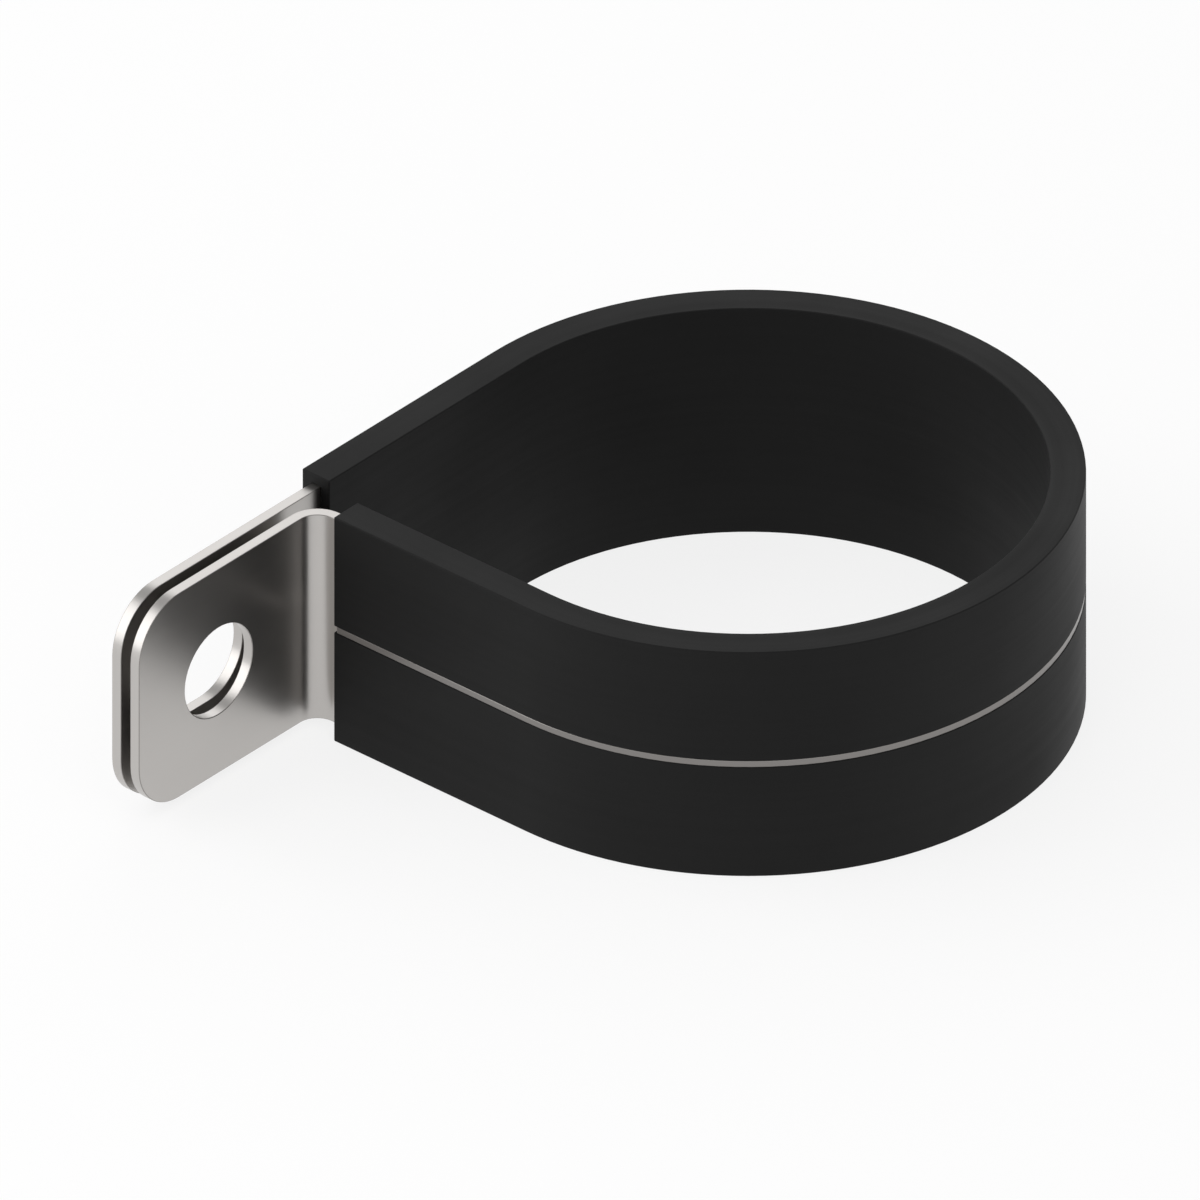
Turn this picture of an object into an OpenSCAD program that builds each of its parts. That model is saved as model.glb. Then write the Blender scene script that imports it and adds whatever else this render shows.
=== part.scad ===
// Lined P clip: a flat steel band folded round a 50 mm bore, with a rubber
// liner of C section over the loop and both legs. The two tabs of the band lie
// face to face and take one M8 screw, through a round hole in the bent tab and
// a slot in the straight one.
//
// The origin is on the axis of the bore at the liner's lower edge. Z runs along
// the bore, and the tabs run out along -X.

/* [Bore] */
// Diameter of the pipe or cable that the liner grips
bore_d = 50; // [40:1:70]

/* [Steel band] */
// Thickness of the band
band_t = 1; // [0.8:0.1:1.6]
// Width of the band
band_w = 20; // [16:0.5:26]
// Width of the rib that runs along the middle of the band
rib_w = 0.6; // [0.4:0.1:1]
// Depth of the rib's crest below the outer face of the liner
rib_sink = 0.05; // [0.05:0.05:0.3]
// Length over which the rib falls away to the band at each end
rib_run_out = 0.3; // [0.2:0.1:4]

/* [Rubber liner] */
// Thickness of the liner's pad, between the band and the bore
pad_t = 1; // [0.8:0.1:2]
// Thickness of the two lips that hold the liner on the outside of the band
lip_t = 1; // [0.8:0.1:2]
// Thickness of the liner over each edge of the band
edge_t = 1; // [0.6:0.1:2]

/* [Legs and tabs] */
// Length of the liner on the leg that runs straight on into its tab
straight_leg = 24.1; // [15:0.1:28]
// Length of the liner on the leg that is bent into its tab
bent_leg = 21.1; // [12:0.1:21.5]
// Distance from the bore's axis to the end of the tabs
tab_reach = 49.1; // [46:0.1:60]
// Gap between the faces of the two tabs
tab_gap = 1; // [0.4:0.1:1.5]
// Inner radius of the bend in the shorter leg
bend_r = 1.8; // [1:0.1:3]
// Radius of the tabs' outer corners
corner_r = 5; // [2:0.5:7]

/* [Screw hole] */
// Diameter of the round hole, and width of the slot
hole_d = 8.5; // [6.5:0.1:9]
// Length of the slot in the straight tab, end to end
slot_l = 10.5; // [9:0.5:14]
// Distance from the end of the tabs to the middle of the hole and the slot
hole_inset = 10; // [8:0.5:14]

/* [Hidden] */
$fn = 96;
steel = [0.78, 0.79, 0.8];
rubber = [0.13, 0.13, 0.14];

// Extra depth that carries a cut past the face it opens
cut = 0.1;

// Radii about the bore's axis, from the pad out to the lips
pad_r = bore_d / 2;
band_in = pad_r + pad_t;
band_out = band_in + band_t;
lip_r = band_out + lip_t;

// Heights along the bore
liner_w = band_w + 2 * edge_t;
mid_z = liner_w / 2;

// The rib fills the slit between the lips to just below their outer face
rib_h = lip_t - rib_sink;

// The straight tab lies in the band's own line, the bent one a gap inside it
bent_tab_y = band_in - tab_gap - band_t;
bend_x = -band_out - bend_r;
bend_y = bent_tab_y - bend_r;

// Section of the band as it stands on the bore's radius: the strip and its rib
module band_section() {
    translate([band_in, edge_t])
        square([band_t, band_w]);
    translate([band_in + band_t / 2, mid_z - rib_w / 2])
        square([band_t / 2 + rib_h, rib_w]);
}

// Section of the liner: a C whose lips leave a slit down the middle
module liner_section() {
    difference() {
        translate([pad_r, 0])
            square([lip_r - pad_r, liner_w]);
        translate([band_in, edge_t])
            square([band_t, band_w]);
        translate([band_out - cut, mid_z - rib_w / 2])
            square([lip_t + 2 * cut, rib_w]);
    }
}

// Carries a section round the three quarters of the bore, from the straight
// leg's tangent point to the bent leg's
module loop() {
    rotate([0, 0, 180])
        rotate_extrude(angle = 270)
            children();
}

// Carries a section along +Y from the bore's axis
module run(length) {
    rotate([90, 0, 0])
        translate([0, 0, -length])
            linear_extrude(length)
                children();
}

// Places what runs along +Y as the leg that leaves the bore towards -X
module straight_side() {
    rotate([0, 0, 90])
        children();
}

// Places what runs along +Y as the leg that leaves the bore towards +Y
module bent_side() {
    mirror([1, 0, 0])
        children();
}

// Outline of a hole as wide as the screw's clearance: round where its length is
// its width, and a slot where it is longer
module screw_hole(length) {
    travel = length - hole_d;
    translate([-tab_reach + hole_inset, band_w / 2]) {
        for (x = [-travel / 2, travel / 2])
            translate([x, 0])
                circle(d = hole_d);
        if (travel > 0)
            square([travel, hole_d], center = true);
    }
}

// Flat plate from start_x out to the end of the tabs, its near face at y, with
// rounded outer corners and a screw hole of the given length
module tab(start_x, y, hole_l) {
    translate([0, y + band_t, edge_t])
        rotate([90, 0, 0])
            linear_extrude(band_t)
                difference() {
                    union() {
                        translate([-tab_reach + corner_r, 0])
                            square([tab_reach - corner_r + start_x, band_w]);
                        translate([-tab_reach, corner_r])
                            square([2 * corner_r, band_w - 2 * corner_r]);
                        for (z = [corner_r, band_w - corner_r])
                            translate([-tab_reach + corner_r, z])
                                circle(corner_r);
                    }
                    screw_hole(hole_l);
                }
}

// Quarter bend that turns the shorter leg into its tab
module bend() {
    translate([bend_x, bend_y, edge_t])
        rotate_extrude(angle = 90)
            translate([bend_r, 0])
                square([band_t, band_w]);
}

// Length of the band inside the liner, its rib sloped off at the liner's end
module lined_run(length) {
    difference() {
        run(length)
            band_section();
        translate([0, length, mid_z])
            linear_extrude(2 * rib_w, center = true)
                polygon([
                    [band_out, 0],
                    [band_out + rib_h, -rib_run_out],
                    [lip_r, -rib_run_out],
                    [lip_r, cut],
                    [band_out, cut],
                ]);
    }
}

// The whole band: loop, legs, bend and both tabs as one folded strip
module steel_band() {
    color(steel) {
        loop()
            band_section();
        straight_side()
            lined_run(straight_leg);
        tab(-straight_leg, band_in, slot_l);
        bent_side() {
            lined_run(bent_leg);
            run(bend_y)
                translate([band_in, edge_t])
                    square([band_t, band_w]);
        }
        bend();
        tab(bend_x, bent_tab_y, hole_d);
    }
}

// The liner: one extruded strip pushed over the loop and both legs
module rubber_liner() {
    color(rubber) {
        loop()
            liner_section();
        straight_side()
            run(straight_leg)
                liner_section();
        bent_side()
            run(bent_leg)
                liner_section();
    }
}

steel_band();
rubber_liner();
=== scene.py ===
"""Finishes the lined P clip's steel band and rubber liner and sets it in a plain pale studio."""

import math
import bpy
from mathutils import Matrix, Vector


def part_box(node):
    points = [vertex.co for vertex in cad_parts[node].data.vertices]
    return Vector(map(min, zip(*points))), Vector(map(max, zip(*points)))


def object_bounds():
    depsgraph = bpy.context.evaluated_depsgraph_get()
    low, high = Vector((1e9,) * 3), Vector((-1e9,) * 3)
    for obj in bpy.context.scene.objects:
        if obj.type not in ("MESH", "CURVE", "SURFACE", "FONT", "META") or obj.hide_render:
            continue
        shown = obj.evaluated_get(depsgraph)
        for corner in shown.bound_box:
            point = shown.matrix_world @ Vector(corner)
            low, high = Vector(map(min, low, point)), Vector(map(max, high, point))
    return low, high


bl_info = {
    "name": "Lined P Clip",
    "version": (1, 0, 0),
    "blender": (4, 5, 0),
    "location": "3D View > Sidebar > P Clip",
    "description": "Finishes a rubber-lined P clip and sets it in a plain pale studio",
    "category": "Object",
}

import bpy
from bpy.props import FloatProperty, FloatVectorProperty, PointerProperty
from mathutils import Vector

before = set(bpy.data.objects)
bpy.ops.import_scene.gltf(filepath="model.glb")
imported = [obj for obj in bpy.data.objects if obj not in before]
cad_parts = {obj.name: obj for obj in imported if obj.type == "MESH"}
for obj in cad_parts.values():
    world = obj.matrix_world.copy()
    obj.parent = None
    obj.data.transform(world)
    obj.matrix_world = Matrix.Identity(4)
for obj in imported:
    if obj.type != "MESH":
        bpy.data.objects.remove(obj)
CAD_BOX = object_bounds()

MM = 0.001

# How fast the lines on a strip change along it, against how fast they change across it
LINE_DRIFT = 0.004

# Points of one mesh that lie closer than this are one point
SAME_POINT = 0.001 * MM

# Faces that turn by less than the first are one flat face, and by more than the second meet at an edge
FLAT_TURN = math.radians(0.5)
EDGE_TURN = math.radians(40)


def linear(code):
    """The linear colour of an sRGB hex code such as #C0C0C0."""
    channels = [int(code[i : i + 2], 16) / 255 for i in (1, 3, 5)]
    return tuple(c / 12.92 if c <= 0.04045 else ((c + 0.055) / 1.055) ** 2.4 for c in channels)


def length(name, description, default, **limits):
    """A length property in metres."""
    return FloatProperty(
        name=name, description=description, default=default, unit="LENGTH", precision=5, **limits
    )


def colour(name, description, code):
    """A colour property that starts from an sRGB hex code."""
    return FloatVectorProperty(
        name=name,
        description=description,
        default=linear(code),
        subtype="COLOR",
        size=3,
        min=0,
        max=1,
    )


class ClipFinish(bpy.types.PropertyGroup):
    """Edges, slit and colours of the clip's two pieces"""

    steel_edge: length("Steel edge", "Radius that tumbling leaves on the band's edges", 0.06 * MM)
    rubber_edge: length("Rubber edge", "Radius of the extruded liner's edges", 0.12 * MM)
    # Lip depth also sets where the painted shade in the slit starts on the strip.
    lip_depth: length("Lip depth", "How deep the slit is where the strip's film starts", 0.95 * MM)
    straight_end: length("Straight end", "From the bore's axis to the straight leg's end", 24.1 * MM)
    bent_end: length("Bent end", "From the bore's axis to the liner's end on the bent leg", 21.1 * MM)
    steel_colour: colour("Steel", "Colour of the bright stainless strip", "#BCB9B6")
    # Painted dark reflection: the band's rounded edges get this darker colour in place of the dim
    # surroundings that they mirror.
    dark_reflection_edge_colour: colour("Painted dark edge", "Colour of the band's burnished corners", "#918E8B")
    # Painted shade: the strip inside the liner's slit gets this darker colour in place of the shade and
    # dim reflection that it shows there.
    painted_slit_shade_colour: colour("Painted slit shade", "Colour of the strip in the liner's slit", "#84817F")
    rubber_colour: colour("Rubber", "Colour of the carbon-black rubber", "#101010")


class ClipStudio(bpy.types.PropertyGroup):
    """Camera, lamps and floor"""

    azimuth: FloatProperty(
        name="Azimuth",
        description="Direction that the camera looks in, turned from +Y",
        default=math.radians(48.72),
        subtype="ANGLE",
    )
    elevation: FloatProperty(
        name="Elevation",
        description="Height of the camera above the horizon",
        default=math.radians(32.54),
        subtype="ANGLE",
    )
    view_width: length("View width", "Width of the camera's parallel view", 99.38 * MM)
    aim: FloatVectorProperty(
        name="Aim",
        description="Point that the camera looks at, from the middle of the clip",
        default=(0.47 * MM, 7.47 * MM, 0),
        subtype="TRANSLATION",
        unit="LENGTH",
    )
    floor_colour: colour("Floor", "Colour of the matt floor", "#FAFAFA")
    floor_lift: FloatProperty(
        name="Floor lift",
        description="Share of plain white in the floor where it is seen",
        default=0.8,
        min=0,
        max=1,
    )


def put(tree, kind, inputs=None, **settings):
    """Adds a node, sets it up and feeds its inputs: a node gives its first output, a socket is linked
    as it is, and anything else is a value."""
    made = tree.nodes.new(kind)
    for name, value in settings.items():
        setattr(made, name, value)
    for name, value in (inputs or {}).items():
        if isinstance(value, bpy.types.Node):
            value = value.outputs[0]
        if isinstance(value, bpy.types.NodeSocket):
            tree.links.new(value, made.inputs[name])
        else:
            made.inputs[name].default_value = value
    return made


def new_material(name):
    """An empty node material and its tree."""
    material = bpy.data.materials.new(name)
    material.use_nodes = True
    material.node_tree.nodes.clear()
    return material, material.node_tree


def lines_along_strip(tree, across, spacing):
    """Faint lines that run the length of the strip, spacing apart: noise that changes fast across the
    strip, where across gives the place, and slowly along it."""
    place = put(tree, "ShaderNodeTexCoord").outputs["Object"]
    axes = put(tree, "ShaderNodeSeparateXYZ", {"Vector": place}).outputs
    along = put(tree, "ShaderNodeMath", {0: axes["X"], 1: axes["Y"]}, operation="SUBTRACT")
    drift = put(tree, "ShaderNodeMath", {0: along, 1: LINE_DRIFT}, operation="MULTIPLY")
    grid = put(tree, "ShaderNodeCombineXYZ", {"X": across, "Y": axes["Z"], "Z": drift})
    return put(
        tree,
        "ShaderNodeTexNoise",
        {"Vector": grid, "Scale": 1 / (2 * spacing), "Detail": 2.0, "Roughness": 0.6},
    )


def distance_from_bore(tree):
    """How far a point of the liner lies from the bore's axis, taken square to the strip: the radius
    round the loop, and the plain offset on the two straight legs."""
    place = put(tree, "ShaderNodeTexCoord").outputs["Object"]
    axes = put(tree, "ShaderNodeSeparateXYZ", {"Vector": place}).outputs
    flat = put(tree, "ShaderNodeCombineXYZ", {"X": axes["X"], "Y": axes["Y"]})
    radius = put(tree, "ShaderNodeVectorMath", {0: flat}, operation="LENGTH").outputs["Value"]
    sideways = put(tree, "ShaderNodeMath", {0: axes["X"]}, operation="ABSOLUTE")
    offset = put(tree, "ShaderNodeMath", {0: sideways, 1: axes["Y"]}, operation="MAXIMUM")
    towards_tabs = put(tree, "ShaderNodeMath", {0: axes["X"], 1: 0.0}, operation="LESS_THAN")
    above_axis = put(tree, "ShaderNodeMath", {0: axes["Y"], 1: 0.0}, operation="GREATER_THAN")
    on_legs = put(tree, "ShaderNodeMath", {0: towards_tabs, 1: above_axis}, operation="MULTIPLY")
    return put(tree, "ShaderNodeMix", {"Factor": on_legs, "A": radius, "B": offset}, data_type="FLOAT")


def painted_slit_shade_mask(tree, finish):
    """1 where the band stands between the liner's lips, past its own outer face, and 0 elsewhere: where
    the strip gets its painted shade. Only the stretch that the liner covers counts, so the two tabs are
    0 all over."""
    place = put(tree, "ShaderNodeTexCoord").outputs["Object"]
    axes = put(tree, "ShaderNodeSeparateXYZ", {"Vector": place}).outputs
    lips = -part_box("rubber_liner")[0][0] - finish.lip_depth
    past_face = put(
        tree, "ShaderNodeMath", {0: distance_from_bore(tree), 1: lips}, operation="GREATER_THAN"
    )
    on_straight = put(
        tree, "ShaderNodeMath", {0: axes["X"], 1: -finish.straight_end}, operation="GREATER_THAN"
    )
    on_bent = put(tree, "ShaderNodeMath", {0: axes["Y"], 1: finish.bent_end}, operation="LESS_THAN")
    lined = put(tree, "ShaderNodeMath", {0: on_straight, 1: on_bent}, operation="MAXIMUM")
    return put(tree, "ShaderNodeMath", {0: past_face, 1: lined}, operation="MULTIPLY")


def stainless_strip(finish):
    """Stainless steel strip, cold rolled: a soft satin mirror. The rolls leave lines under 0.05 mm
    apart, drawn here 0.2 mm apart so that they show, as faint changes of gloss and height, and the
    gloss drifts a little over every 9 mm. In the liner's slit the strip is painted a darker grey, a
    painted shade that stands in for the dim light there."""
    material, tree = new_material("stainless_steel_cold_rolled")
    place = put(tree, "ShaderNodeTexCoord").outputs["Object"]
    lines = lines_along_strip(tree, 0.0, 0.2 * MM)
    cloud = put(tree, "ShaderNodeTexNoise", {"Vector": place, "Scale": 1 / (9 * MM), "Detail": 3.0})
    line_gloss = put(tree, "ShaderNodeMapRange", {"Value": lines, "To Min": -0.03, "To Max": 0.03})
    cloud_gloss = put(tree, "ShaderNodeMapRange", {"Value": cloud, "To Min": 0.27, "To Max": 0.37})
    gloss = put(tree, "ShaderNodeMath", {0: line_gloss, 1: cloud_gloss}, operation="ADD")
    relief = put(tree, "ShaderNodeBump", {"Height": lines, "Strength": 0.15, "Distance": 0.0006 * MM})
    # The slit gets the painted shade colour: a darker grey in place of the shade there.
    colour_with_painted_slit_shade = put(
        tree,
        "ShaderNodeMix",
        {
            "Factor": painted_slit_shade_mask(tree, finish),
            "A": (*finish.steel_colour, 1),
            "B": (*finish.painted_slit_shade_colour, 1),
        },
        data_type="RGBA",
    )
    shader = put(
        tree,
        "ShaderNodeBsdfPrincipled",
        {"Base Color": colour_with_painted_slit_shade.outputs["Result"], "Metallic": 1.0, "Roughness": gloss, "Normal": relief},
    )
    put(tree, "ShaderNodeOutputMaterial", {"Surface": shader})
    return material


def edge_with_painted_dark_reflection(colour_value):
    """The same steel on the corners that the shear rolled over and tumbling rounded, coloured a shade
    darker than the faces as a painted dark reflection; its gloss changes about every 2 mm."""
    material, tree = new_material("stainless_steel_sheared_edge")
    place = put(tree, "ShaderNodeTexCoord").outputs["Object"]
    rub = put(tree, "ShaderNodeTexNoise", {"Vector": place, "Scale": 1 / (2 * MM), "Detail": 2.0})
    gloss = put(tree, "ShaderNodeMapRange", {"Value": rub, "To Min": 0.22, "To Max": 0.38})
    shader = put(
        tree,
        "ShaderNodeBsdfPrincipled",
        {"Base Color": (*colour_value, 1), "Metallic": 1.0, "Roughness": gloss},
    )
    put(tree, "ShaderNodeOutputMaterial", {"Surface": shader})
    return material


def extruded_rubber(colour_value):
    """EPDM rubber, extruded and steam cured: deep black and matt. The die leaves lines along the strip,
    the skin has a grain under 0.05 mm, drawn here 0.15 mm wide so that it shows, and a bloom turns the
    gloss a little over every 14 mm."""
    material, tree = new_material("epdm_rubber_extruded")
    place = put(tree, "ShaderNodeTexCoord").outputs["Object"]
    lines = lines_along_strip(tree, distance_from_bore(tree), 0.3 * MM)
    grain = put(
        tree,
        "ShaderNodeTexNoise",
        {"Vector": place, "Scale": 1 / (2 * 0.15 * MM), "Detail": 2.0, "Roughness": 0.7},
    )
    bloom = put(tree, "ShaderNodeTexNoise", {"Vector": place, "Scale": 1 / (14 * MM), "Detail": 4.0})
    line_gloss = put(tree, "ShaderNodeMapRange", {"Value": lines, "To Min": -0.05, "To Max": 0.05})
    bloom_gloss = put(tree, "ShaderNodeMapRange", {"Value": bloom, "To Min": 0.5, "To Max": 0.7})
    gloss = put(tree, "ShaderNodeMath", {0: line_gloss, 1: bloom_gloss}, operation="ADD")
    skin = put(tree, "ShaderNodeMath", {0: lines, 1: 0.6, 2: grain}, operation="MULTIPLY_ADD")
    relief = put(tree, "ShaderNodeBump", {"Height": skin, "Strength": 0.35, "Distance": 0.01 * MM})
    shader = put(
        tree,
        "ShaderNodeBsdfPrincipled",
        {
            "Base Color": (*colour_value, 1),
            "Roughness": gloss,
            "Specular IOR Level": 0.18,
            "Normal": relief,
        },
    )
    put(tree, "ShaderNodeOutputMaterial", {"Surface": shader})
    return material


def dress(node, materials, edge):
    """Gives a CAD node its materials, and rounds its edges without touching its mesh. The last material
    goes on the rounded edges. The faces are welded and the flats merged first, so that only true edges
    are rounded, and the large faces keep their own shading afterwards."""
    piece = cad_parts[node]
    piece.data.materials.clear()
    for material in materials:
        piece.data.materials.append(material)
    for polygon in piece.data.polygons:
        polygon.use_smooth = True
    weld = piece.modifiers.new("join_faces", "WELD")
    weld.merge_threshold = SAME_POINT
    flat = piece.modifiers.new("merge_flats", "DECIMATE")
    flat.decimate_type = "DISSOLVE"
    flat.angle_limit = FLAT_TURN
    bevel = piece.modifiers.new("round_edges", "BEVEL")
    bevel.width = edge
    bevel.segments = 3
    bevel.limit_method = "ANGLE"
    bevel.angle_limit = EDGE_TURN
    bevel.use_clamp_overlap = False
    bevel.miter_outer = "MITER_ARC"
    bevel.material = len(materials) - 1
    shade = piece.modifiers.new("keep_flats_flat", "WEIGHTED_NORMAL")
    shade.weight = 50
    return piece


class LINEDCLIP_OT_band(bpy.types.Operator):
    """Finish the folded steel band"""

    bl_idname = "lined_clip.band"
    bl_label = "Steel Band"

    def execute(self, context):
        finish = context.scene.clip_finish
        # The second material paints the rounded edges darker: a painted dark reflection.
        skins = [stainless_strip(finish), edge_with_painted_dark_reflection(finish.dark_reflection_edge_colour)]
        dress("steel_band", skins, finish.steel_edge)
        return {"FINISHED"}


class LINEDCLIP_OT_liner(bpy.types.Operator):
    """Finish the extruded rubber liner"""

    bl_idname = "lined_clip.liner"
    bl_label = "Rubber Liner"

    def execute(self, context):
        finish = context.scene.clip_finish
        dress("rubber_liner", [extruded_rubber(finish.rubber_colour)], finish.rubber_edge)
        return {"FINISHED"}


def softbox(name, turn, rise, across, down, glow):
    """A flat lamp that faces the clip from turn degrees round it and rise degrees up: across by down
    metres, glow times as bright as white paper."""
    distance = 0.6
    turn, rise = math.radians(turn), math.radians(rise)
    away = Vector(
        (math.cos(turn) * math.cos(rise), math.sin(turn) * math.cos(rise), math.sin(rise))
    )
    lamp = bpy.data.lights.new(name, "AREA")
    lamp.shape = "RECTANGLE"
    lamp.size = across
    lamp.size_y = down
    lamp.energy = glow * math.pi * across * down
    holder = bpy.data.objects.new(name, lamp)
    holder.location = away * distance
    holder.rotation_euler = away.to_track_quat("Z", "Y").to_euler()
    bpy.context.scene.collection.objects.link(holder)
    return holder


def paper_floor(colour_value, lift):
    """Matt white paper: light scatters evenly. Seen directly or in a reflection it is lifted towards
    plain white, by the share that lift gives, and the shadows on it stay."""
    material, tree = new_material("matt_paper_floor")
    paper = put(tree, "ShaderNodeBsdfDiffuse", {"Color": (*colour_value, 1)})
    white = put(tree, "ShaderNodeEmission", {"Color": (1, 1, 1, 1), "Strength": 1.0})
    path = put(tree, "ShaderNodeLightPath").outputs
    seen = put(
        tree, "ShaderNodeMath", {0: path["Is Camera Ray"], 1: path["Is Glossy Ray"]}, operation="MAXIMUM"
    )
    seen = put(tree, "ShaderNodeMath", {0: seen, 1: path["Is Transmission Ray"]}, operation="MAXIMUM")
    share = put(tree, "ShaderNodeMath", {0: seen, 1: lift}, operation="MULTIPLY")
    mix = put(tree, "ShaderNodeMixShader", {0: share, 1: paper, 2: white})
    put(tree, "ShaderNodeOutputMaterial", {"Surface": mix})
    return material


def studio_air(horizon, overhead, top_height):
    """Pale studio walls: as bright as horizon gives near the floor, fading to overhead where the
    direction's height reaches top_height, 1 being straight up."""
    world = bpy.data.worlds.new("studio_air")
    world.use_nodes = True
    tree = world.node_tree
    tree.nodes.clear()
    look = put(tree, "ShaderNodeTexCoord").outputs["Generated"]
    height = put(tree, "ShaderNodeSeparateXYZ", {"Vector": look}).outputs["Z"]
    glow = put(
        tree,
        "ShaderNodeMapRange",
        {"Value": height, "From Max": top_height, "To Min": horizon, "To Max": overhead},
        interpolation_type="SMOOTHSTEP",
    )
    air = put(tree, "ShaderNodeBackground", {"Color": (1, 1, 1, 1), "Strength": glow})
    put(tree, "ShaderNodeOutputWorld", {"Surface": air})
    return world


class LINEDCLIP_OT_stage(bpy.types.Operator):
    """Build the floor, the lamps and the camera"""

    bl_idname = "lined_clip.stage"
    bl_label = "Studio"

    def execute(self, context):
        studio = context.scene.clip_studio
        low, high = (Vector(corner) for corner in CAD_BOX)
        middle = (low + high) / 2

        reach = 3.0  # from the bore's axis to the floor's edge, in metres
        mesh = bpy.data.meshes.new("floor")
        mesh.from_pydata(
            [(x * reach, y * reach, low.z) for x, y in ((-1, -1), (1, -1), (1, 1), (-1, 1))],
            [],
            [(0, 1, 2, 3)],
        )
        floor = bpy.data.objects.new("floor", mesh)
        context.scene.collection.objects.link(floor)
        floor.data.materials.append(paper_floor(studio.floor_colour, studio.floor_lift))

        softbox("left_softbox", turn=128, rise=27, across=0.56, down=0.6, glow=1.7)
        softbox("top_softbox", turn=221, rise=62, across=0.5, down=0.5, glow=1.0)
        softbox("right_softbox", turn=41.3, rise=32.5, across=0.34, down=0.34, glow=1.0)
        context.scene.world = studio_air(horizon=0.95, overhead=0.5, top_height=0.8)

        camera = bpy.data.cameras.new("camera")
        camera.type = "ORTHO"
        camera.ortho_scale = studio.view_width
        camera.clip_start = 1 * MM
        holder = bpy.data.objects.new("camera", camera)
        turn, rise = studio.azimuth, studio.elevation
        back = Vector(
            (-math.sin(turn) * math.cos(rise), -math.cos(turn) * math.cos(rise), math.sin(rise))
        )
        distance = 0.5
        holder.location = middle + Vector(studio.aim) + back * distance
        holder.rotation_euler = (-back).to_track_quat("-Z", "Y").to_euler()
        context.scene.collection.objects.link(holder)
        context.scene.camera = holder
        context.scene.view_settings.view_transform = "Standard"
        return {"FINISHED"}


class LINEDCLIP_PT_panel(bpy.types.Panel):
    """Lists the clip's pieces and its studio"""

    bl_idname = "LINEDCLIP_PT_panel"
    bl_label = "Lined P Clip"
    bl_space_type = "VIEW_3D"
    bl_region_type = "UI"
    bl_category = "P Clip"

    def draw(self, context):
        for operator in OPERATORS:
            self.layout.operator(operator.bl_idname)


OPERATORS = (LINEDCLIP_OT_band, LINEDCLIP_OT_liner, LINEDCLIP_OT_stage)
CLASSES = (ClipFinish, ClipStudio, *OPERATORS, LINEDCLIP_PT_panel)


def register():
    for cls in CLASSES:
        bpy.utils.register_class(cls)
    bpy.types.Scene.clip_finish = PointerProperty(type=ClipFinish)
    bpy.types.Scene.clip_studio = PointerProperty(type=ClipStudio)


def unregister():
    del bpy.types.Scene.clip_studio
    del bpy.types.Scene.clip_finish
    for cls in reversed(CLASSES):
        bpy.utils.unregister_class(cls)


def main():
    register()
    bpy.ops.lined_clip.band()
    bpy.ops.lined_clip.liner()
    bpy.ops.lined_clip.stage()


if __name__ == "__main__":
    main()
